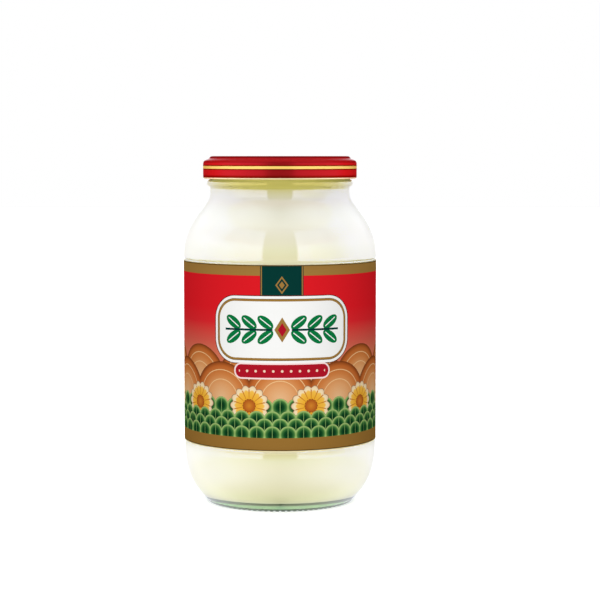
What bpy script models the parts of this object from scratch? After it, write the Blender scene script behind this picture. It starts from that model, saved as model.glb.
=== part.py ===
"""Mayonnaise jar: a round clear glass jar with a pressed steel lid, a paper sleeve label and its filling.

Metres, +Z up. The jar stands on Z = 0, its axis is the Z axis, and -Y is the front of the label.
Every piece is turned about the axis from an outline of (radius, height) points.
"""

import math

import bmesh
import bpy

# Driving dimensions, in metres
BODY_RADIUS = 0.0385
JAR_HEIGHT = 0.1372
WALL = 0.0028
GAP = 0.0003

# Foot: a push-up, a flat bearing ring and a knurled ring outside it
PUNT_HEIGHT = 0.0018
PUNT_FALL = 0.0002
PUNT_RADIUS = 0.0235
RING_INNER = 0.0252
RING_OUTER = 0.0272
FOOT_RADIUS = 0.0294
KNURLS = 80
KNURL_DEPTH = 0.00045
KNURL_INSET = 0.00045
KNURL_STEP = 0.0001

# Body: the heel curves up to the label panel, which is sunk in the wall
HEEL_TOP = 0.0236
HEEL_RADIUS = 0.0384
PANEL_BOTTOM = 0.0246
PANEL_TOP = 0.0971
PANEL_DEPTH = 0.0007
SHOULDER_BOTTOM = 0.0978

# Inside of the foot
FLOOR_EDGE = 0.0034
FLOOR_MIDDLE = 0.0050
FLOOR_RADIUS = 0.0235
INNER_HEEL_TOP = 0.0190
INNER_HEEL_PULL = (0.0312, 0.0050)

# Neck, bead and finish
NECK_RADIUS = 0.0278
NECK_BOTTOM = 0.1222
BEAD_HEIGHT = 0.1265
BEAD_REACH = 0.0014
BEAD_HALF = 0.0015
FINISH_RADIUS = 0.0275
BORE_RADIUS = 0.0249
RIM_HEIGHT = 0.1363
RIM_ROUND = 0.0013

# Lid
LID_RADIUS = 0.0305
LID_BOTTOM = 0.1283
SHEET = 0.0005
SKIRT_TOP = 0.1346
CURL_RADIUS = 0.00075
CHANNEL_OUTER = 0.0276
CHANNEL_INNER = 0.0246
SLOPE = ((0.0286, 0.1361), (0.0300, 0.1354))
PANEL_DROP = 0.0013
PANEL_RADIUS = 0.0229
BUTTON_RADIUS = 0.0090
BUTTON_RISE = 0.00025
BUTTON_EDGE = 0.0006

# Label
LABEL_BOTTOM = 0.0248
LABEL_TOP = 0.0962
PAPER = 0.0002
LAP_HALF_ANGLE = math.radians(8.0)

# Filling
FILL_HEIGHT = 0.1322
MENISCUS = 0.0004
MENISCUS_WIDTH = 0.0015

# Sides of each turned piece
JAR_SIDES = KNURLS
LID_SIDES = 60
LABEL_SIDES = 90
FILLING_SIDES = 40

HEEL_CURVE = ((FOOT_RADIUS, KNURL_DEPTH), (0.0374, 0.0082), (0.0378, 0.0144), (HEEL_RADIUS, HEEL_TOP))
SHOULDER_CURVE = ((BODY_RADIUS, SHOULDER_BOTTOM), (BODY_RADIUS, 0.1120), (NECK_RADIUS, 0.1177),
                  (NECK_RADIUS, NECK_BOTTOM))


def curve(corners, count, inset=0.0):
    """Points of a cubic curve, each moved to the left of its direction by inset."""
    points = []
    for step in range(count):
        t = step / (count - 1)
        s = 1.0 - t
        weights = (s ** 3, 3 * s * s * t, 3 * s * t * t, t ** 3)
        slopes = (-3 * s * s, 3 * s * s - 6 * s * t, 6 * s * t - 3 * t * t, 3 * t * t)
        radius, height = (sum(w * c[axis] for w, c in zip(weights, corners)) for axis in (0, 1))
        run, rise = (sum(w * c[axis] for w, c in zip(slopes, corners)) for axis in (0, 1))
        length = math.hypot(run, rise)
        points.append((radius - inset * rise / length, height + inset * run / length))
    return points


def arc(centre, radii, start, end, count):
    """Points of an ellipse's arc between two angles in degrees."""
    points = []
    for step in range(count):
        angle = math.radians(start + (end - start) * step / (count - 1))
        points.append((centre[0] + radii[0] * math.cos(angle), centre[1] + radii[1] * math.sin(angle)))
    return points


def turned(outline, sides):
    """A mesh turned about Z from an outline that starts and ends on the axis, or closes on itself."""
    bm = bmesh.new()
    ring = [bm.verts.new((radius, 0.0, height)) for radius, height in outline]
    edges = [bm.edges.new(pair) for pair in zip(ring, ring[1:])]
    if outline[0][0] > 0.0:
        edges.append(bm.edges.new((ring[-1], ring[0])))
    bmesh.ops.spin(bm, geom=ring + edges, cent=(0, 0, 0), axis=(0, 0, 1), dvec=(0, 0, 0),
                   angle=math.tau, steps=sides, use_merge=True, use_duplicate=False)
    bmesh.ops.remove_doubles(bm, verts=bm.verts, dist=1e-6)
    bmesh.ops.recalc_face_normals(bm, faces=bm.faces)
    return bm


def add_piece(name, bm, colour, roughness, metallic=0.0, transmission=0.0):
    """One named object with its own material, shaded smooth but for its sharp corners."""
    mesh = bpy.data.meshes.new(name)
    bm.to_mesh(mesh)
    bm.free()
    mesh.shade_smooth()
    mesh.set_sharp_from_angle(angle=math.radians(35.0))
    material = bpy.data.materials.new(name)
    material.use_nodes = True
    shader = material.node_tree.nodes["Principled BSDF"]
    shader.inputs["Base Color"].default_value = (*colour, 1.0)
    shader.inputs["Roughness"].default_value = roughness
    shader.inputs["Metallic"].default_value = metallic
    shader.inputs["Transmission Weight"].default_value = transmission
    mesh.materials.append(material)
    piece = bpy.data.objects.new(name, mesh)
    bpy.context.collection.objects.link(piece)
    return piece


def inside_of_jar(clearance, shoulder_steps, heel_steps):
    """The inside from the neck down to the middle of the floor, clearance in from the glass."""
    shoulder = curve(SHOULDER_CURVE, shoulder_steps, WALL + clearance)
    wall_radius = BODY_RADIUS - WALL - clearance
    floor = FLOOR_EDGE + clearance
    heel = curve(((wall_radius, INNER_HEEL_TOP), (wall_radius, floor + INNER_HEEL_PULL[1]),
                  (INNER_HEEL_PULL[0] - clearance, floor), (FLOOR_RADIUS, floor)), heel_steps)
    return shoulder[::-1] + heel + [(0.0, FLOOR_MIDDLE + clearance)]


def add_glass_jar():
    """The jar, open at the top, with knurls under its foot."""
    foot = [(0.0, PUNT_HEIGHT), (PUNT_RADIUS, PUNT_HEIGHT - PUNT_FALL), (RING_INNER, 0.0), (RING_OUTER, 0.0),
            (RING_OUTER + KNURL_STEP, KNURL_DEPTH)]
    panel_radius = BODY_RADIUS - PANEL_DEPTH
    panel = [(panel_radius, PANEL_BOTTOM), (panel_radius, PANEL_TOP)]
    bead = arc((NECK_RADIUS, BEAD_HEIGHT), (BEAD_REACH, BEAD_HALF), -90, 90, 5)
    bead[-1] = (FINISH_RADIUS, BEAD_HEIGHT + BEAD_HALF)
    middle = 0.5 * (FINISH_RADIUS + BORE_RADIUS)
    rim = arc((middle, RIM_HEIGHT - RIM_ROUND), (FINISH_RADIUS - middle, RIM_ROUND), 0, 180, 5)
    outline = (foot + curve(HEEL_CURVE, 8) + panel + curve(SHOULDER_CURVE, 8) + bead + rim
               + inside_of_jar(0.0, 6, 5))
    bm = turned(outline, JAR_SIDES)
    strip = [face for face in bm.faces
             if face.calc_center_median().z < 1.1 * KNURL_DEPTH
             and RING_OUTER + 2 * KNURL_STEP < face.calc_center_median().xy.length < FOOT_RADIUS]
    bmesh.ops.inset_individual(bm, faces=strip, thickness=KNURL_INSET)
    pads = {vert for face in strip for vert in face.verts}
    bmesh.ops.translate(bm, verts=list(pads), vec=(0.0, 0.0, -KNURL_DEPTH))
    return add_piece("glass_jar", bm, (0.86, 0.94, 0.87), 0.04, transmission=1.0)


def add_lid():
    """The twist-off lid: a sunk middle with a slight button, a raised channel and a curled skirt."""
    panel = JAR_HEIGHT - PANEL_DROP
    skirt = LID_RADIUS - SHEET
    button = panel + BUTTON_RISE
    top = [(0.0, button), (BUTTON_RADIUS - BUTTON_EDGE, button), (BUTTON_RADIUS, panel),
           (PANEL_RADIUS, panel), (CHANNEL_INNER, JAR_HEIGHT), (CHANNEL_OUTER, JAR_HEIGHT),
           *SLOPE, (LID_RADIUS, SKIRT_TOP)]
    curl_centre = (LID_RADIUS - CURL_RADIUS, LID_BOTTOM + CURL_RADIUS)
    curl = arc(curl_centre, (CURL_RADIUS, CURL_RADIUS), 0, -225, 6)
    slope_under = [(radius - 0.6 * SHEET, height - 0.8 * SHEET) for radius, height in SLOPE]
    under = [(skirt, LID_BOTTOM + 2.2 * CURL_RADIUS), (skirt, SKIRT_TOP), *slope_under[::-1],
             (CHANNEL_OUTER - 0.4 * SHEET, JAR_HEIGHT - SHEET),
             (CHANNEL_INNER + 0.4 * SHEET, JAR_HEIGHT - SHEET),
             (PANEL_RADIUS + 0.4 * SHEET, panel - SHEET), (BUTTON_RADIUS, panel - SHEET),
             (BUTTON_RADIUS - BUTTON_EDGE, button - SHEET), (0.0, button - SHEET)]
    return add_piece("lid", turned(top + curl + under, LID_SIDES), (0.62, 0.02, 0.03), 0.28)


def add_label():
    """The paper sleeve round the panel, with its glued lap at the back."""
    inner = BODY_RADIUS - PANEL_DEPTH + GAP
    outer = inner + PAPER
    bm = turned([(inner, LABEL_BOTTOM), (outer, LABEL_BOTTOM), (outer, LABEL_TOP), (inner, LABEL_TOP)],
                LABEL_SIDES)
    for vert in bm.verts:
        radius = math.hypot(vert.co.x, vert.co.y)
        from_back = math.atan2(abs(vert.co.x), vert.co.y)
        if radius > inner + 0.5 * PAPER and from_back < LAP_HALF_ANGLE:
            stretch = (radius + PAPER) / radius
            vert.co.x *= stretch
            vert.co.y *= stretch
    return add_piece("label", bm, (0.72, 0.16, 0.13), 0.5)


def add_filling():
    """The mayonnaise, which fills the jar from its floor to just under the rim."""
    outline = inside_of_jar(GAP, 6, 5)
    surface = [(0.0, FILL_HEIGHT - MENISCUS),
               (BORE_RADIUS - GAP - MENISCUS_WIDTH, FILL_HEIGHT - MENISCUS),
               (BORE_RADIUS - GAP, FILL_HEIGHT)]
    return add_piece("mayonnaise", turned(surface + outline, FILLING_SIDES), (0.90, 0.86, 0.66), 0.35)


for leftover in list(bpy.data.objects):
    bpy.data.objects.remove(leftover, do_unlink=True)

add_glass_jar()
add_lid()
add_label()
add_filling()
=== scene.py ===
import math

import bmesh
import bpy
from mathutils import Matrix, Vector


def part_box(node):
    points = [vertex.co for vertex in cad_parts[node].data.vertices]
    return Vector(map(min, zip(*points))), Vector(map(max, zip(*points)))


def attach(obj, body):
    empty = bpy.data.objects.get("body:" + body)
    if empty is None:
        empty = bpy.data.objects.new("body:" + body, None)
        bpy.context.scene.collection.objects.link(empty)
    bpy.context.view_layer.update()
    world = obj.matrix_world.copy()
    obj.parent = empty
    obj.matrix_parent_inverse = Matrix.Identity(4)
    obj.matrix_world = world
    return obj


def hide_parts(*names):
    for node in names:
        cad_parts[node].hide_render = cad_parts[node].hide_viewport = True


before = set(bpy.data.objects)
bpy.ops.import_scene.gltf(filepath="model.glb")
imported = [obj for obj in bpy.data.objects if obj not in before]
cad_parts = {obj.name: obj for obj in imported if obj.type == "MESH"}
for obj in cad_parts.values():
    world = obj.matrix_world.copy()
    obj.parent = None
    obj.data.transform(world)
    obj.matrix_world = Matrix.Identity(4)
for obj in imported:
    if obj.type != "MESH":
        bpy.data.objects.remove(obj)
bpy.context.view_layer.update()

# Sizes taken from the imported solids
BODY_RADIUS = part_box("glass_jar")[1].x
RIM_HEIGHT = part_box("glass_jar")[1].z
LID_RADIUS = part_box("lid")[1].x
LID_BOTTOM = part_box("lid")[0].z
JAR_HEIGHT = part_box("lid")[1].z
LABEL_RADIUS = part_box("label")[1].x
LABEL_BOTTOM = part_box("label")[0].z
LABEL_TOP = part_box("label")[1].z
FILL_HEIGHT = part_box("mayonnaise")[1].z

# Glass, from the foot up
WALL = 0.0028
BEARING_RING = 0.0273
FOOT_RADIUS = 0.0294
KNURLS = 80
KNURL_DEPTH = 0.00045
KNURL_INSET = 0.0004
PAD_INSET = 0.00012
PANEL_RADIUS = BODY_RADIUS - 0.0007
PANEL_ROOM = 0.0006
NECK_RADIUS = 0.0278
BEAD_HEIGHT = 0.1265
BEAD_REACH = 0.0014
BEAD_HALF = 0.0015
FINISH_RADIUS = 0.0275
BORE_RADIUS = 0.0249
RIM_ROUND = 0.0013
HEEL_CURVE = ((FOOT_RADIUS, KNURL_DEPTH), (0.0374, 0.0082), (0.0378, 0.0144), (0.0384, 0.0236))
SHOULDER_CURVE = ((BODY_RADIUS, 0.0978), (BODY_RADIUS, 0.1120), (NECK_RADIUS, 0.1177),
                  (NECK_RADIUS, 0.1222))

# Inside of the glass, which the filling follows
FLOOR_EDGE = 0.0034
FLOOR_RADIUS = 0.0235
INNER_HEEL_TOP = 0.0190
INNER_HEEL_PULL = (0.0312, 0.0050)
INNER_SHOULDER_STEPS = 10
INNER_HEEL_STEPS = 7
INTO_GLASS = 0.00012

# Lid
SHEET = 0.0005
CURL_RADIUS = 0.00075
LID_SIDES = 96
STRIPE_HEIGHT = 0.13283
STRIPE_WIDTH = 0.00105
# Bands of painted shadow beside the gold line and above the rolled edge, and the rolled edge's pale band,
# partly painted light
LINE_SHADOW = 0.00045
LIT_BARE_EDGE = 0.0005
EDGE_SHADOW = (0.0013, 0.0005)
PANEL_DROP = 0.0013
SKIRT_DROP = 0.0026
# Painted shade on the channel's outer wall, and a painted highlight on the slope
CHANNEL_WALL_DROP = 0.0008
CHANNEL_WALL_RADIUS = 0.0271
SLOPE_DROP = 0.0013
SLOPE_RADIUS = 0.0276
SLOPE_HALF = 0.0005
SKIRT_ZONE = 0.029

# Filling: the dip of its surface, the painted green disc and painted dark line under it, and its
# colours by height in millimetres, which are cream with painted shade and painted light
MENISCUS = 0.0004
UNDERSIDE = 0.0055
DISC_RADIUS = 0.0256
LINE_RADIUS = 0.0285
SOFT_EDGE = 0.0001
# Painted shade: deeper by the sleeve's edges and olive in the neck under the lid. Painted light at the
# very top.
FILLING_TONES_WITH_PAINTED_LIGHT = (
    (4.4, (238, 238, 200)), (5.0, (225, 222, 174)), (6.2, (222, 220, 172)), (8.6, (229, 224, 181)),
    (11.7, (235, 229, 191)), (14.8, (239, 234, 199)), (18.0, (244, 238, 202)), (21.0, (244, 240, 199)),
    (22.5, (242, 237, 180)), (23.5, (240, 231, 168)), (24.2, (252, 245, 212)), (97.0, (251, 245, 208)),
    (98.8, (241, 235, 189)), (101.5, (237, 233, 191)), (104.2, (237, 231, 200)),
    (108.8, (232, 228, 201)), (110.6, (235, 233, 208)), (114.7, (230, 229, 205)),
    (116.5, (225, 222, 195)), (118.3, (224, 217, 189)), (120.0, (222, 216, 186)),
    (122.1, (222, 216, 172)), (124.0, (219, 210, 142)), (125.4, (214, 203, 90)),
    (126.6, (218, 206, 100)), (127.6, (240, 226, 140)))

# Label, in millimetres of paper: across from the middle of the front, and up from the lower margin
LABEL_SIDES = 240
LABEL_ROWS = 24
PAPER = 0.0002
PAPER_ROUND = 2000.0 * math.pi * LABEL_RADIUS
PAPER_TALL = 1000.0 * (LABEL_TOP - LABEL_BOTTOM)
LAP_HALF_ANGLE = math.radians(8.0)
REPEATS = 10
MARGIN = 0.55

# Camera, worked out from the curves of the jar's rings
LENS = 109.7
SENSOR = 36.0
CAMERA_DISTANCE = 0.7277
CAMERA_HEIGHT = 0.1375
CAMERA_TILT = math.radians(4.524)
CAMERA_TURN = math.radians(0.627)


def shade(red, green, blue):
    """A colour given as 0 to 255, as the renderer's linear values."""
    parts = [c / 255.0 for c in (red, green, blue)]
    return tuple(p / 12.92 if p <= 0.04045 else ((p + 0.055) / 1.055) ** 2.4 for p in parts) + (1.0,)


class Graph:
    """The nodes of a material or of the world, wired by calls: numbers or sockets go in, and a socket
    comes out."""

    def __init__(self, owner):
        owner.use_nodes = True
        self.owner = owner
        self.tree = owner.node_tree
        self.shader = self.tree.nodes.get("Principled BSDF")

    def node(self, kind, **settings):
        made = self.tree.nodes.new(kind)
        for key, value in settings.items():
            setattr(made, key, value)
        return made

    def feed(self, socket, value):
        if isinstance(value, bpy.types.NodeSocket):
            self.tree.links.new(value, socket)
        else:
            socket.default_value = value

    def math(self, operation, *values):
        made = self.node("ShaderNodeMath", operation=operation)
        for socket, value in zip(made.inputs, values):
            self.feed(socket, value)
        return made.outputs[0]

    def times(self, one, other):
        return self.math("MULTIPLY", one, other)

    def less(self, one, other):
        return self.math("SUBTRACT", one, other)

    def reach(self, x, y):
        """The distance from the axis, or from the middle of a shape."""
        return self.math("SQRT", self.math("ADD", self.times(x, x), self.times(y, y)))

    def mix(self, factor, under, over):
        """One colour over another."""
        made = self.node("ShaderNodeMix", data_type="RGBA")
        for index, value in ((0, factor), (6, under), (7, over)):
            self.feed(made.inputs[index], value)
        return made.outputs[2]

    def blend(self, factor, low, high):
        """One number towards another."""
        made = self.node("ShaderNodeMix", data_type="FLOAT")
        for index, value in ((0, factor), (2, low), (3, high)):
            self.feed(made.inputs[index], value)
        return made.outputs[0]

    def ramp(self, factor, *stops):
        made = self.node("ShaderNodeValToRGB")
        elements = made.color_ramp.elements
        while len(elements) < len(stops):
            elements.new(0.5)
        for element, (place, colour) in zip(elements, stops):
            element.position = place
            element.color = colour
        self.feed(made.inputs[0], factor)
        return made.outputs[0]

    def share(self, value, low, high):
        """0 at low, 1 at high and smooth between."""
        made = self.node("ShaderNodeMapRange", interpolation_type="SMOOTHSTEP")
        for socket, number in zip(made.inputs, (value, low, high, 0.0, 1.0)):
            self.feed(socket, number)
        return made.outputs[0]

    def scale(self, colour, amount):
        """A colour made brighter or darker."""
        made = self.node("ShaderNodeVectorMath", operation="SCALE")
        self.feed(made.inputs[0], colour)
        self.feed(made.inputs["Scale"], amount)
        return made.outputs[0]

    def place(self, kind="Object"):
        """The point's place as three sockets."""
        split = self.node("ShaderNodeSeparateXYZ")
        self.feed(split.inputs[0], self.node("ShaderNodeTexCoord").outputs[kind])
        return split.outputs

    def noise(self, scale, detail=3.0):
        made = self.node("ShaderNodeTexNoise")
        self.feed(made.inputs["Vector"], self.node("ShaderNodeTexCoord").outputs["Object"])
        made.inputs["Scale"].default_value = scale
        made.inputs["Detail"].default_value = detail
        return made.outputs[0]

    def bump(self, height, strength, distance):
        made = self.node("ShaderNodeBump")
        made.inputs["Strength"].default_value = strength
        made.inputs["Distance"].default_value = distance
        self.feed(made.inputs["Height"], height)
        self.feed(self.shader.inputs["Normal"], made.outputs[0])

    def finish(self, **values):
        for key, value in values.items():
            self.feed(self.shader.inputs[key.replace("_", " ")], value)
        return self.owner


def new_material(name):
    return Graph(bpy.data.materials.new(name))


def curve(corners, count, inset=0.0):
    """Points of a cubic curve, each moved to the left of its direction by inset."""
    points = []
    for step in range(count):
        t = step / (count - 1)
        s = 1.0 - t
        weights = (s ** 3, 3 * s * s * t, 3 * s * t * t, t ** 3)
        slopes = (-3 * s * s, 3 * s * s - 6 * s * t, 6 * s * t - 3 * t * t, 3 * t * t)
        radius, height = (sum(w * c[axis] for w, c in zip(weights, corners)) for axis in (0, 1))
        run, rise = (sum(w * c[axis] for w, c in zip(slopes, corners)) for axis in (0, 1))
        length = math.hypot(run, rise)
        points.append((radius - inset * rise / length, height + inset * run / length))
    return points


def arc(centre, radii, start, end, count):
    """Points of an ellipse's arc between two angles in degrees."""
    points = []
    for step in range(count):
        angle = math.radians(start + (end - start) * step / (count - 1))
        points.append((centre[0] + radii[0] * math.cos(angle), centre[1] + radii[1] * math.sin(angle)))
    return points


def turned(outline, sides):
    """A mesh turned about Z from an outline that starts and ends on the axis, or closes on itself."""
    bm = bmesh.new()
    ring = [bm.verts.new((radius, 0.0, height)) for radius, height in outline]
    edges = [bm.edges.new(pair) for pair in zip(ring, ring[1:])]
    if outline[0][0] > 0.0:
        edges.append(bm.edges.new((ring[-1], ring[0])))
    bmesh.ops.spin(bm, geom=ring + edges, cent=(0, 0, 0), axis=(0, 0, 1), dvec=(0, 0, 0),
                   angle=math.tau, steps=sides, use_merge=True, use_duplicate=False)
    bmesh.ops.remove_doubles(bm, verts=bm.verts, dist=1e-6)
    bmesh.ops.recalc_face_normals(bm, faces=bm.faces)
    return bm


def add_piece(name, bm, materials, node, rounding=0):
    """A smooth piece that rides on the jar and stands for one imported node."""
    mesh = bpy.data.meshes.new(name)
    bm.to_mesh(mesh)
    bm.free()
    mesh.shade_smooth()
    for material in materials:
        mesh.materials.append(material)
    piece = bpy.data.objects.new(name, mesh)
    bpy.context.scene.collection.objects.link(piece)
    if rounding:
        smooth = piece.modifiers.new("rounding", "SUBSURF")
        smooth.levels = rounding
        smooth.render_levels = rounding
    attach(piece, "root")
    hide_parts(node)


def clear_glass(name, reflection_tint=(1.0, 1.0, 1.0, 1.0)):
    """Flint glass with the faint green of its iron. Lamps and soft light pass straight through it
    to the filling."""
    g = new_material(name)
    g.finish(Base_Color=shade(252, 254, 252), Roughness=0.0, IOR=1.52, Transmission_Weight=1.0,
             Specular_Tint=reflection_tint)
    path = g.node("ShaderNodeLightPath")
    through = g.math("MAXIMUM", path.outputs["Is Shadow Ray"], path.outputs["Is Diffuse Ray"])
    open_way = g.node("ShaderNodeBsdfTransparent")
    pick = g.node("ShaderNodeMixShader")
    for index, socket in enumerate((through, g.shader.outputs[0], open_way.outputs[0])):
        g.feed(pick.inputs[index], socket)
    output = g.tree.nodes["Material Output"]
    g.feed(output.inputs["Surface"], pick.outputs[0])
    tint = g.node("ShaderNodeVolumeAbsorption")
    tint.inputs["Color"].default_value = (0.55, 0.85, 0.65, 1.0)
    tint.inputs["Density"].default_value = 6.0
    g.feed(output.inputs["Volume"], tint.outputs[0])
    return g.owner


def knurled_glass():
    """The stippled ring under the foot, painted dark green as painted shade, since light leaves it
    sideways.
    """
    g = new_material("knurled_glass")
    colour = g.mix(g.noise(300.0), shade(16, 42, 10), shade(36, 74, 26))
    return g.finish(Base_Color=colour, Roughness=0.22, Transmission_Weight=0.1, IOR=1.52)


def creamy_filling():
    """Pale cream, with painted shade deeper by the sleeve's edges and olive up in the neck, and painted
    light at the very top. Seen aslant through the thick foot, its underside has a painted pale green disc
    inside a painted dark line."""
    g = new_material("mayonnaise")
    x, y, height = g.place()
    up = g.math("DIVIDE", height, JAR_HEIGHT)
    # The ramp by height lays painted shade and painted light over the cream.
    colour = g.ramp(up, *((0.001 * level / JAR_HEIGHT, shade(*tone)) for level, tone in FILLING_TONES_WITH_PAINTED_LIGHT))
    radius = g.reach(x, y)
    # Painted shade: a pale green disc seen aslant and a dark line on the underside stand in for the
    # shaded underside seen through the thick foot.
    under = g.math("LESS_THAN", height, UNDERSIDE)
    aslant = g.share(g.node("ShaderNodeLayerWeight").outputs["Facing"], 0.25, 0.5)
    in_disc = g.share(radius, DISC_RADIUS + SOFT_EDGE, DISC_RADIUS - SOFT_EDGE)
    in_line = g.share(radius, LINE_RADIUS + SOFT_EDGE, LINE_RADIUS - SOFT_EDGE)
    disc = g.times(g.times(under, aslant), in_disc)
    line = g.times(under, g.times(g.less(1.0, in_disc), in_line))
    colour = g.mix(disc, colour, shade(136, 188, 122))
    colour = g.mix(line, colour, shade(24, 78, 2))
    patches = g.times(g.noise(70.0), 0.08)
    colour = g.mix(patches, colour, shade(252, 250, 232))
    g.bump(g.noise(240.0), 0.15, 0.0002)
    return g.finish(Base_Color=colour, Roughness=0.55, Specular_IOR_Level=0.2)


def red_enamel():
    """Red lacquer over steel, with painted shadow beside the printed gold line and above the rolled edge,
    whose pale band is partly bare metal and partly painted light. A painted sheen brightens the skirt
    where it is seen aslant, painted shade darkens the top and more its channel's outer wall, and the
    slope above the skirt has a painted highlight under a gleaming coat."""
    g = new_material("red_enamel")
    x, y, height = g.place()
    radius = g.reach(x, y)
    from_line = g.math("ABSOLUTE", g.less(height, STRIPE_HEIGHT))
    on_line = g.math("LESS_THAN", from_line, 0.5 * STRIPE_WIDTH)
    # Painted shadow beside the gold line and above the rolled edge.
    painted_line_shadow = g.math("LESS_THAN", from_line, 0.5 * STRIPE_WIDTH + LINE_SHADOW)
    # The rolled edge: partly bare metal, partly painted light of its lit underside.
    rolled = g.math("LESS_THAN", height, LID_BOTTOM + LIT_BARE_EDGE)
    painted_edge_shadow = g.share(height, *(LID_BOTTOM + LIT_BARE_EDGE + above for above in EDGE_SHADOW))
    from_slope = g.math("ABSOLUTE", g.less(height, JAR_HEIGHT - SLOPE_DROP))
    slope = g.math("LESS_THAN", from_slope, SLOPE_HALF)
    aslant = g.node("ShaderNodeLayerWeight").outputs["Facing"]
    skirt = g.math("LESS_THAN", height, JAR_HEIGHT - SKIRT_DROP)
    red = g.mix(g.times(g.noise(45.0), 0.3), (0.31, 0.0085, 0.0098, 1.0), (0.36, 0.0105, 0.012, 1.0))
    # Painted light: the top darker, its channel's outer wall darker still, the slope brighter, and the
    # skirt brighter where seen aslant (painted sheen).
    shaded_channel_wall = g.times(g.math("GREATER_THAN", radius, CHANNEL_WALL_RADIUS),
                   g.math("GREATER_THAN", height, JAR_HEIGHT - CHANNEL_WALL_DROP))
    painted_slope_highlight = g.times(g.math("GREATER_THAN", radius, SLOPE_RADIUS), slope)
    above = g.blend(shaded_channel_wall, g.blend(painted_slope_highlight, 0.84, 1.08), 0.52)
    red = g.scale(red, g.blend(skirt, above, g.math("ADD", 0.93, g.times(aslant, 0.6))))
    colour = g.mix(g.math("MAXIMUM", painted_line_shadow, painted_edge_shadow), red, (0.16, 0.004, 0.001, 1.0))
    colour = g.mix(on_line, colour, shade(253, 214, 114))
    colour = g.mix(rolled, colour, (1.0, 0.80, 0.50, 1.0))
    g.bump(g.noise(900.0, 2.0), 0.06, 0.0001)
    sheen = g.blend(on_line, g.blend(rolled, 0.19, 0.17), 0.05)
    return g.finish(Base_Color=colour, Metallic=sheen, Roughness=0.26, Specular_IOR_Level=0.0,
                    Specular_Tint=(0.9, 0.1, 0.14, 1.0), Coat_Weight=slope, Coat_IOR=1.03,
                    Coat_Roughness=0.08)


def cream_lacquer():
    """The food-safe lacquer inside the lid."""
    g = new_material("cream_lacquer")
    colour = g.mix(g.noise(60.0), shade(254, 248, 222), shade(248, 240, 210))
    return g.finish(Base_Color=colour, Roughness=0.45)


class Print(Graph):
    """Ink on the paper sleeve. across and up are millimetres on the paper, and up starts above the
    margin."""

    def __init__(self, owner):
        super().__init__(owner)
        split = self.node("ShaderNodeSeparateXYZ")
        self.feed(split.inputs[0], self.node("ShaderNodeUVMap", uv_map="paper").outputs[0])
        self.across = self.times(self.less(split.outputs[0], 0.5), PAPER_ROUND)
        self.from_bottom = self.times(split.outputs[1], PAPER_TALL)
        self.from_top = self.less(PAPER_TALL, self.from_bottom)
        self.up = self.less(self.from_bottom, MARGIN)
        self.ink = shade(255, 255, 255)

    def lay(self, mask, colour):
        self.ink = self.mix(mask, self.ink, colour)

    def inside(self, distance, limit=0.0):
        return self.math("LESS_THAN", distance, limit)

    def between(self, value, low, high):
        return self.times(self.math("GREATER_THAN", value, low), self.inside(value, high))

    def either(self, one, other):
        return self.math("MAXIMUM", one, other)

    def away(self, value, centre):
        return self.math("ABSOLUTE", self.less(value, centre))

    def repeat(self, value, period, shift=0.0):
        """The distance from the nearest of a row of places, period apart."""
        return self.math("WRAP", self.less(value, shift), 0.5 * period, -0.5 * period)

    def from_box(self, x, y, centre, half, corner):
        """How far a point is outside a box with round corners, and less than nothing inside."""
        over = [self.math("MAXIMUM", self.less(self.away(value, middle), size - corner), 0.0)
                for value, middle, size in zip((x, y), centre, half)]
        return self.less(self.reach(*over), corner)

    def from_disc(self, x, y, middle_up, radius):
        return self.less(self.reach(x, self.less(y, middle_up)), radius)


# Inks, and in millimetres the gold bands at both edges and the middle of the front's shapes
GOLD = shade(160, 121, 60)
GOLD_LOW = shade(150, 110, 50)
GOLD_DARK = shade(96, 70, 30)
CREAM = shade(250, 243, 214)
# The sleeve's cream edge: the paper's edge and a painted highlight of the glass panel's edge.
CREAM_EDGE_AND_HIGHLIGHT = shade(255, 244, 192)
WHITE = shade(250, 250, 248)
DEEP_GREEN = shade(8, 57, 52)
LEAF_GREEN = shade(10, 118, 62)
CRIMSON = shade(176, 22, 40)
BAND_LOW = 5.35
BAND_HIGH = 4.1
FRONT_MIDDLE = 0.8


def fan_row(p, period, shift, middle, radius):
    """Round-topped fans in orange and brown, side by side."""
    x = p.repeat(p.across, period, shift)
    rise = p.less(p.up, middle)
    tone = p.math("DIVIDE", p.reach(x, rise), radius)
    colour = p.ramp(tone, (0.0, shade(232, 186, 138)), (0.4, shade(224, 160, 104)),
                    (0.66, shade(208, 128, 68)), (0.88, shade(188, 100, 44)), (0.96, shade(150, 76, 32)),
                    (1.0, shade(104, 52, 24)))
    p.lay(p.inside(tone, 1.0), colour)
    for ring in (0.5, 0.76):
        p.lay(p.between(tone, ring, ring + 0.022), shade(240, 196, 140))


def scale_row(p, period, shift, top):
    """One row of small round-ended leaves, like fish scales, dark at the root and light at the rim."""
    radius = 0.56 * period
    middle = top - radius
    x = p.repeat(p.across, period, shift)
    tone = p.math("DIVIDE", p.reach(x, p.less(p.up, middle)), radius)
    colour = p.ramp(tone, (0.0, shade(4, 34, 18)), (0.45, shade(18, 72, 34)), (0.72, shade(64, 118, 58)),
                    (0.90, shade(150, 184, 104)), (0.96, shade(176, 202, 128)), (1.0, shade(6, 38, 20)))
    stem = p.times(p.inside(p.math("ABSOLUTE", x), 0.12), p.inside(tone, 0.85))
    p.lay(p.either(p.inside(tone, 1.0), p.inside(p.up, middle)), shade(4, 34, 18))
    p.lay(p.inside(tone, 1.0), colour)
    p.lay(stem, shade(128, 168, 96))


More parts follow.
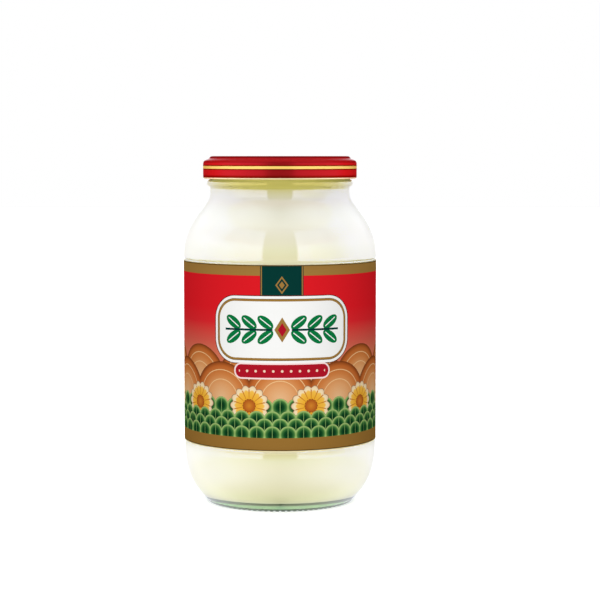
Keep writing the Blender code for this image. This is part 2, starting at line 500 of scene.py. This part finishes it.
def daisy_row(p, period, shift, middle, radius, petals=14):
    """Round yellow flowers with pale tips and brown hearts."""
    x = p.repeat(p.across, period, shift)
    rise = p.less(p.up, middle)
    turn = p.times(p.math("ARCTAN2", rise, x), petals)
    wave = p.math("ADD", 0.5, p.times(p.math("COSINE", turn), 0.5))
    petal = p.math("ADD", 0.86, p.times(p.math("POWER", wave, 0.5), 0.14))
    tone = p.math("DIVIDE", p.reach(x, rise), p.times(petal, radius))
    colour = p.ramp(tone, (0.0, shade(236, 172, 60)), (0.40, shade(238, 176, 52)),
                    (0.72, shade(244, 190, 78)), (0.80, shade(246, 226, 184)),
                    (0.94, shade(238, 210, 170)), (1.0, shade(120, 70, 34)))
    p.lay(p.inside(tone, 1.0), colour)
    gap = p.times(p.inside(wave, 0.08), p.between(tone, 0.36, 0.9))
    p.lay(gap, shade(206, 130, 40))
    heart = p.ramp(p.math("DIVIDE", tone, 0.36), (0.0, shade(212, 132, 44)), (0.8, shade(178, 92, 32)),
                   (1.0, shade(120, 58, 22)))
    p.lay(p.inside(tone, 0.34), heart)


def plaque(p):
    """A white plaque with a gold keyline, and a plain green garland on it."""
    centre, half, corner = (FRONT_MIDDLE, 46.2), (26.5, 11.8), 8.0
    edge = p.from_box(p.across, p.up, centre, half, corner)
    p.lay(p.inside(edge, 1.3), shade(92, 30, 20))
    p.lay(p.inside(edge, 1.0), WHITE)
    p.lay(p.inside(edge), GOLD_DARK)
    p.lay(p.inside(edge, -0.2), GOLD)
    p.lay(p.inside(edge, -1.0), WHITE)
    x = p.away(p.across, centre[0])
    y = p.away(p.up, centre[1])
    run = p.between(x, 3.3, 22.4)
    lean = math.radians(38.0)
    along = p.repeat(x, 6.4)
    above = p.less(y, 2.8)
    turned_x = p.math("ADD", p.times(along, math.cos(lean)), p.times(above, math.sin(lean)))
    turned_y = p.less(p.times(above, math.cos(lean)), p.times(along, math.sin(lean)))
    leaf = p.reach(p.math("DIVIDE", turned_x, 3.6), p.math("DIVIDE", turned_y, 1.9))
    vein = p.times(p.inside(leaf, 0.75), p.inside(p.math("ABSOLUTE", turned_y), 0.18))
    p.lay(p.times(p.inside(leaf, 1.0), run), LEAF_GREEN)
    p.lay(p.times(vein, run), WHITE)
    p.lay(p.times(p.inside(y, 0.4), p.inside(x, 22.8)), DEEP_GREEN)
    bud = p.math("ADD", p.math("DIVIDE", x, 3.0), p.math("DIVIDE", y, 4.8))
    p.lay(p.inside(bud, 1.25), WHITE)
    p.lay(p.inside(bud, 1.0), GOLD)
    p.lay(p.inside(bud, 0.55), CRIMSON)


def title_bar(p):
    """A bare crimson bar with a pale edge, under the plaque."""
    middle_up = 30.4
    edge = p.from_box(p.across, p.up, (FRONT_MIDDLE, middle_up), (18.4, 2.5), 2.4)
    p.lay(p.inside(edge, 0.6), shade(252, 226, 224))
    p.lay(p.inside(edge), CRIMSON)
    dots = p.from_disc(p.repeat(p.across, 3.4, FRONT_MIDDLE), p.up, middle_up, 0.5)
    p.lay(p.times(p.inside(dots), p.inside(edge, -1.4)), shade(246, 214, 190))


def ribbon(p):
    """The dark green ribbon down from the top edge, with gold edge lines and a gold lozenge."""
    x = p.away(p.across, 0.7)
    down = p.math("GREATER_THAN", p.up, 50.0)
    p.lay(p.times(p.inside(x, 8.3), down), DEEP_GREEN)
    p.lay(p.times(p.between(x, 7.6, 8.0), down), GOLD)
    bud = p.math("ADD", p.math("DIVIDE", x, 2.5), p.math("DIVIDE", p.away(p.up, 63.2), 3.4))
    p.lay(p.between(bud, 0.74, 1.0), GOLD)
    p.lay(p.inside(bud, 0.42), GOLD)


def back_panels(p):
    """Two cream panels at the back, ruled with fine plain lines."""
    x = p.math("ABSOLUTE", p.across)
    edge = p.from_box(x, p.up, (84.0, 36.0), (22.0, 25.0), 3.0)
    p.lay(p.inside(edge, 0.7), GOLD_DARK)
    p.lay(p.inside(edge), CREAM)
    rule = p.inside(p.math("ABSOLUTE", p.repeat(p.up, 3.6, 1.8)), 0.11)
    p.lay(p.times(rule, p.inside(edge, -2.9)), shade(150, 120, 80))


def printed_paper():
    p = Print(bpy.data.materials.new("printed_paper"))
    period = PAPER_ROUND / REPEATS
    p.ink = p.ramp(p.math("DIVIDE", p.up, PAPER_TALL), (0.0, shade(150, 80, 60)),
                   (0.50, shade(214, 118, 88)), (0.58, shade(214, 88, 74)), (0.68, shade(222, 40, 46)),
                   (0.76, shade(224, 29, 38)), (1.0, shade(222, 29, 38)))
    fan_row(p, period, 0.5 * period, 25.5, 14.0)
    fan_row(p, period, 0.0, 19.5, 14.0)
    scale_row(p, 0.25 * period, 0.0, 20.0)
    daisy_row(p, period, 0.5 * period, 17.0, 8.0)
    for row, top in enumerate((15.2, 12.4, 9.4)):
        scale_row(p, 0.25 * period, 0.125 * period * (row % 2 == 0), top)
    back_panels(p)
    p.lay(p.inside(p.from_bottom, BAND_LOW), GOLD_LOW)
    p.lay(p.inside(p.from_top, BAND_HIGH), GOLD)
    ribbon(p)
    plaque(p)
    title_bar(p)
    # At the top and bottom edges: a dark line of painted shadow, and a cream line that is the paper's
    # edge and a painted highlight.
    edge = p.math("MINIMUM", p.from_bottom, p.math("ADD", p.from_top, 0.37))
    p.lay(p.inside(edge, 0.8), GOLD_DARK)
    p.lay(p.inside(edge, 0.42), CREAM_EDGE_AND_HIGHLIGHT)
    fibres = p.times(p.noise(1500.0, 2.0), 0.12)
    colour = p.mix(fibres, p.ink, p.mix(0.3, p.ink, (0.0, 0.0, 0.0, 1.0)))
    p.bump(p.noise(2600.0, 2.0), 0.05, 0.00005)
    return p.finish(Base_Color=colour, Roughness=0.5, Specular_IOR_Level=0.0)


def bare_paper():
    """The unprinted back of the sleeve and its cut edges."""
    g = new_material("bare_paper")
    colour = g.mix(g.noise(1200.0), shade(246, 240, 222), shade(236, 228, 206))
    return g.finish(Base_Color=colour, Roughness=0.8, Specular_IOR_Level=0.1)


def inside_of_jar(grown=0.0):
    """The inside from the neck down to the middle of the floor, grown out into the glass."""
    shoulder = curve(SHOULDER_CURVE, INNER_SHOULDER_STEPS, WALL - grown)
    wall_radius = BODY_RADIUS - WALL + grown
    floor = FLOOR_EDGE - grown
    heel = curve(((wall_radius, INNER_HEEL_TOP), (wall_radius, floor + INNER_HEEL_PULL[1]),
                  (INNER_HEEL_PULL[0] + grown, floor), (FLOOR_RADIUS, floor)), INNER_HEEL_STEPS)
    return shoulder[::-1] + heel + [(0.0120, floor + 0.0012), (0.0, floor + 0.0016)]


def build_jar(glass, knurled, bead_glass):
    """The jar with its push-up, knurled foot, label panel, bead and rim."""
    foot = [(0.0, 0.0018), (0.0120, 0.0018), (0.0226, 0.0016), (0.0243, 0.0008), (0.0251, 0.0001),
            (0.0255, 0.0), (0.0268, 0.0), (0.0272, 0.0001), (BEARING_RING, KNURL_DEPTH)]
    panel = [(BODY_RADIUS - 0.0001, LABEL_BOTTOM - 2 * PANEL_ROOM),
             (PANEL_RADIUS, LABEL_BOTTOM - PANEL_ROOM),
             (PANEL_RADIUS, LABEL_BOTTOM - 0.5 * PANEL_ROOM),
             (PANEL_RADIUS, LABEL_TOP + 0.5 * PANEL_ROOM),
             (PANEL_RADIUS, LABEL_TOP + PANEL_ROOM),
             (BODY_RADIUS - 0.0001, LABEL_TOP + 1.8 * PANEL_ROOM)]
    bead = arc((NECK_RADIUS, BEAD_HEIGHT), (BEAD_REACH, BEAD_HALF), -90, 90, 7)
    middle = 0.5 * (FINISH_RADIUS + BORE_RADIUS)
    rim = arc((middle, RIM_HEIGHT - RIM_ROUND), (FINISH_RADIUS - middle, RIM_ROUND), 0, 180, 5)
    heel = curve(HEEL_CURVE, 11)[:-1]
    heel.insert(1, (FOOT_RADIUS + 0.0006, KNURL_DEPTH + 0.0005))
    outline = (foot + heel + panel + curve(SHOULDER_CURVE, 12) + bead
               + [(FINISH_RADIUS, 0.1285)] + rim + inside_of_jar())
    bm = turned(outline, KNURLS)
    strip = [face for face in bm.faces
             if face.calc_center_median().z < 1.1 * KNURL_DEPTH
             and BEARING_RING + 0.0002 < face.calc_center_median().xy.length < FOOT_RADIUS]
    bmesh.ops.inset_individual(bm, faces=strip, thickness=KNURL_INSET)
    pads = {vert for face in strip for vert in face.verts}
    bmesh.ops.translate(bm, verts=list(pads), vec=(0.0, 0.0, -KNURL_DEPTH))
    bmesh.ops.inset_individual(bm, faces=strip, thickness=PAD_INSET)
    for face in bm.faces:
        middle = face.calc_center_median()
        if middle.z < 2 * KNURL_DEPTH and middle.xy.length > BEARING_RING:
            face.material_index = 1
        # Faces of the bead take the glass with the painted yellow reflection.
        if abs(middle.z - BEAD_HEIGHT) < BEAD_HALF and middle.xy.length > BORE_RADIUS + 0.5 * WALL:
            face.material_index = 2
    add_piece("jar_of_clear_glass", bm, [glass, knurled, bead_glass], "glass_jar", rounding=2)


def build_filling(material):
    """The mayonnaise, which reaches just into the glass all round, so that no air shows between."""
    top = FILL_HEIGHT
    surface = [(0.0, top - MENISCUS), (0.0120, top - MENISCUS), (0.0225, top - MENISCUS),
               (0.0242, top - 0.5 * MENISCUS), (BORE_RADIUS + INTO_GLASS, top),
               (BORE_RADIUS + INTO_GLASS, top - MENISCUS)]
    bm = turned(surface + inside_of_jar(INTO_GLASS), KNURLS)
    add_piece("creamy_mayonnaise", bm, [material], "mayonnaise", rounding=2)


def build_lid(enamel, lacquer):
    """The pressed lid, from the button in its sunk middle to the curl under its skirt."""
    high = JAR_HEIGHT
    panel = high - PANEL_DROP
    skirt = LID_RADIUS - SHEET
    top = [(0.0, panel + 0.00025), (0.0050, panel + 0.00025), (0.0080, panel + 0.00023), (0.0090, panel),
           (0.0100, panel), (0.0160, panel), (0.0222, panel), (0.0229, panel + 0.0001),
           (0.0237, panel + 0.0007), (0.0244, high - 0.0001), (0.0250, high), (0.0268, high),
           (0.0275, high - 0.0001), (0.0279, high - 0.0006), (0.0282, high - 0.0010),
           (0.0287, high - 0.0012), (0.0294, high - 0.0014), (0.0300, high - 0.0018),
           (0.0304, high - 0.0023), (LID_RADIUS, high - 0.0030), (LID_RADIUS, high - 0.0040),
           (LID_RADIUS, LID_BOTTOM + 2 * CURL_RADIUS)]
    centre = (LID_RADIUS - CURL_RADIUS, LID_BOTTOM + CURL_RADIUS)
    curl = arc(centre, (CURL_RADIUS, CURL_RADIUS), 0, -225, 9)
    under = [(skirt, LID_BOTTOM + 2.4 * CURL_RADIUS), (skirt, high - 0.0030), (0.0297, high - 0.0022),
             (0.0290, high - 0.0018), (0.0283, high - 0.0016), (0.0277, high - 0.0013),
             (0.0273, high - 0.0008), (0.0268, high - SHEET), (0.0250, high - SHEET),
             (0.0243, high - 0.0009), (0.0231, panel - SHEET), (0.0160, panel - SHEET),
             (0.0, panel - SHEET)]
    bm = turned(top + curl + under, LID_SIDES)
    for face in bm.faces:
        middle = face.calc_center_median()
        rolled = middle.z < LID_BOTTOM + 2 * CURL_RADIUS
        inward = middle.xy.length > SKIRT_ZONE and face.normal.xy.dot(middle.xy) < 0.0
        face.material_index = int(not rolled and (inward or face.normal.z < -0.1))
    add_piece("enamelled_lid", bm, [enamel, lacquer], "lid", rounding=2)


def build_label(paper, bare):
    """The sleeve, with its glued lap at the back and its sheet laid out flat as a map."""
    inner = LABEL_RADIUS - PAPER
    rows = [LABEL_BOTTOM + (LABEL_TOP - LABEL_BOTTOM) * row / LABEL_ROWS for row in range(LABEL_ROWS + 1)]
    outline = [(inner, height) for height in rows[::-1]] + [(LABEL_RADIUS, height) for height in rows]
    bm = turned(outline, LABEL_SIDES)
    for vert in bm.verts:
        radius = vert.co.xy.length
        from_back = math.atan2(vert.co.x, vert.co.y)
        if radius > inner + 0.5 * PAPER and abs(from_back) < LAP_HALF_ANGLE:
            climb = min(1.0, (from_back + LAP_HALF_ANGLE) / (0.6 * LAP_HALF_ANGLE))
            vert.co.xy *= (radius + PAPER * climb) / radius
    chart = bm.loops.layers.uv.new("paper")
    for face in bm.faces:
        middle = face.calc_center_median()
        turn = math.atan2(middle.x, -middle.y)
        outward = face.normal.xy.dot(middle.xy) > 0.0 and abs(face.normal.z) < 0.5
        face.material_index = 0 if outward else 1
        for loop in face.loops:
            angle = math.atan2(loop.vert.co.x, -loop.vert.co.y)
            if angle - turn > math.pi:
                angle -= math.tau
            if turn - angle > math.pi:
                angle += math.tau
            rise = (loop.vert.co.z - LABEL_BOTTOM) / (LABEL_TOP - LABEL_BOTTOM)
            loop[chart].uv = (0.5 + angle / math.tau, rise)
    add_piece("printed_sleeve", bm, [paper, bare], "label")


def build_camera():
    data = bpy.data.cameras.new("camera")
    data.lens = LENS
    data.sensor_width = SENSOR
    camera = bpy.data.objects.new("camera", data)
    camera.location = (0.0, -CAMERA_DISTANCE, CAMERA_HEIGHT)
    camera.rotation_euler = (math.radians(90.0) - CAMERA_TILT, 0.0, -CAMERA_TURN)
    bpy.context.scene.collection.objects.link(camera)
    bpy.context.scene.camera = camera


def build_floor():
    """A plain white table top, lit enough to meet the white behind it. Reflections and glass don't
    see it."""
    bm = bmesh.new()
    bmesh.ops.create_grid(bm, x_segments=1, y_segments=1, size=4.0)
    bmesh.ops.translate(bm, verts=bm.verts, vec=(0.0, 0.0, -0.00005))
    mesh = bpy.data.meshes.new("floor")
    bm.to_mesh(mesh)
    bm.free()
    g = new_material("white_floor")
    g.finish(Base_Color=shade(250, 250, 248), Roughness=0.9, Emission_Color=(1.0, 1.0, 1.0, 1.0),
             Emission_Strength=0.5)
    mesh.materials.append(g.owner)
    floor = bpy.data.objects.new("floor", mesh)
    bpy.context.scene.collection.objects.link(floor)
    floor.visible_diffuse = False
    floor.visible_glossy = False
    floor.visible_transmission = False


def softboxes(g, right, front, up):
    """What gloss sees: a tall softbox on each side of the camera with a dim gap between them, a softer
    ceiling, a floor that is dim in front, and a dimmer room behind the jar."""
    def high(degrees):
        return math.sin(math.radians(degrees))

    def turn(low, top):
        return g.share(front, math.radians(low), math.radians(top))

    def rise(low, top):
        return g.share(up, high(low), high(top))

    lamp = g.mix(turn(35.0, 70.0), (4.9, 4.8, 7.6, 1.0), (6.3, 6.5, 9.3, 1.0))
    broad = g.times(turn(34.0, 39.0), g.less(1.0, turn(60.0, 100.0)))
    on_right = g.times(g.math("GREATER_THAN", right, 0.0), broad)
    lamp = g.mix(g.times(on_right, rise(-5.0, 1.0)), lamp, (5.1, 5.1, 6.7, 1.0))
    upper = g.mix(turn(35.0, 55.0), (3.2, 3.2, 5.2, 1.0), (4.1, 4.0, 5.9, 1.0))
    in_front = g.less(1.0, g.times(turn(65.0, 90.0), 0.7))
    lamp = g.mix(g.times(rise(16.0, 28.0), in_front), lamp, upper)
    ceiling = g.mix(turn(-10.0, 110.0), (2.0, 1.65, 2.4, 1.0), (5.1, 4.9, 6.1, 1.0))
    ground = g.mix(turn(-5.0, 85.0), (0.35, 0.3, 0.4, 1.0), (4.9, 5.0, 5.7, 1.0))
    under = g.mix(turn(0.0, 110.0), (0.15, 0.2, 0.1, 1.0), (2.5, 2.6, 1.9, 1.0))
    ground = g.mix(rise(-25.0, -75.0), ground, under)
    gap = g.mix(rise(30.0, 60.0), (0.6, 0.45, 0.7, 1.0), ceiling)
    seen = g.mix(turn(18.5, 23.0), gap, g.mix(rise(41.0, 51.0), lamp, ceiling))
    seen = g.mix(rise(-11.0, -17.0), seen, ground)
    seen = g.mix(g.times(turn(85.0, 130.0), 0.5), seen, (4.0, 3.9, 3.5, 1.0))
    behind = g.blend(rise(8.0, 30.0), turn(105.0, 165.0), turn(115.0, 175.0))
    return g.mix(behind, seen, (1.4, 1.4, 1.5, 1.0))


def build_light():
    """White all round. Soft light falls from everywhere but the sides, and a little less from the
    right."""
    world = bpy.data.worlds.new("studio")
    bpy.context.scene.world = world
    world.cycles.sampling_method = "NONE"
    g = Graph(world)
    right, deep, up = g.place("Generated")
    front = g.math("ARCTAN2", g.math("ABSOLUTE", right), g.times(deep, -1.0))
    path = g.node("ShaderNodeLightPath").outputs
    reflected = g.times(path["Is Glossy Ray"], g.less(1.0, path["Is Transmission Ray"]))
    soft = g.less(g.less(1.41, g.times(g.times(right, right), 1.63)), g.times(right, 0.09))
    low = g.times(path["Is Transmission Ray"], g.share(up, -0.02, -0.3))
    colour = g.mix(low, (1.0, 1.0, 1.0, 1.0), (0.12, 0.23, 0.07, 1.0))
    colour = g.mix(reflected, colour, softboxes(g, right, front, up))
    background = world.node_tree.nodes["Background"]
    g.feed(background.inputs["Color"], colour)
    strength = g.blend(path["Is Diffuse Ray"], 1.0, g.math("MAXIMUM", soft, 0.0))
    g.feed(background.inputs["Strength"], strength)
    bpy.context.scene.view_settings.view_transform = "Standard"


build_camera()
# The bead's glass has a yellow reflection tint: a painted reflection.
build_jar(clear_glass("clear_glass"), knurled_glass(), clear_glass("bead_glass", (1.0, 0.84, 0.24, 1.0)))
build_filling(creamy_filling())
build_lid(red_enamel(), cream_lacquer())
build_label(printed_paper(), bare_paper())
build_floor()
build_light()
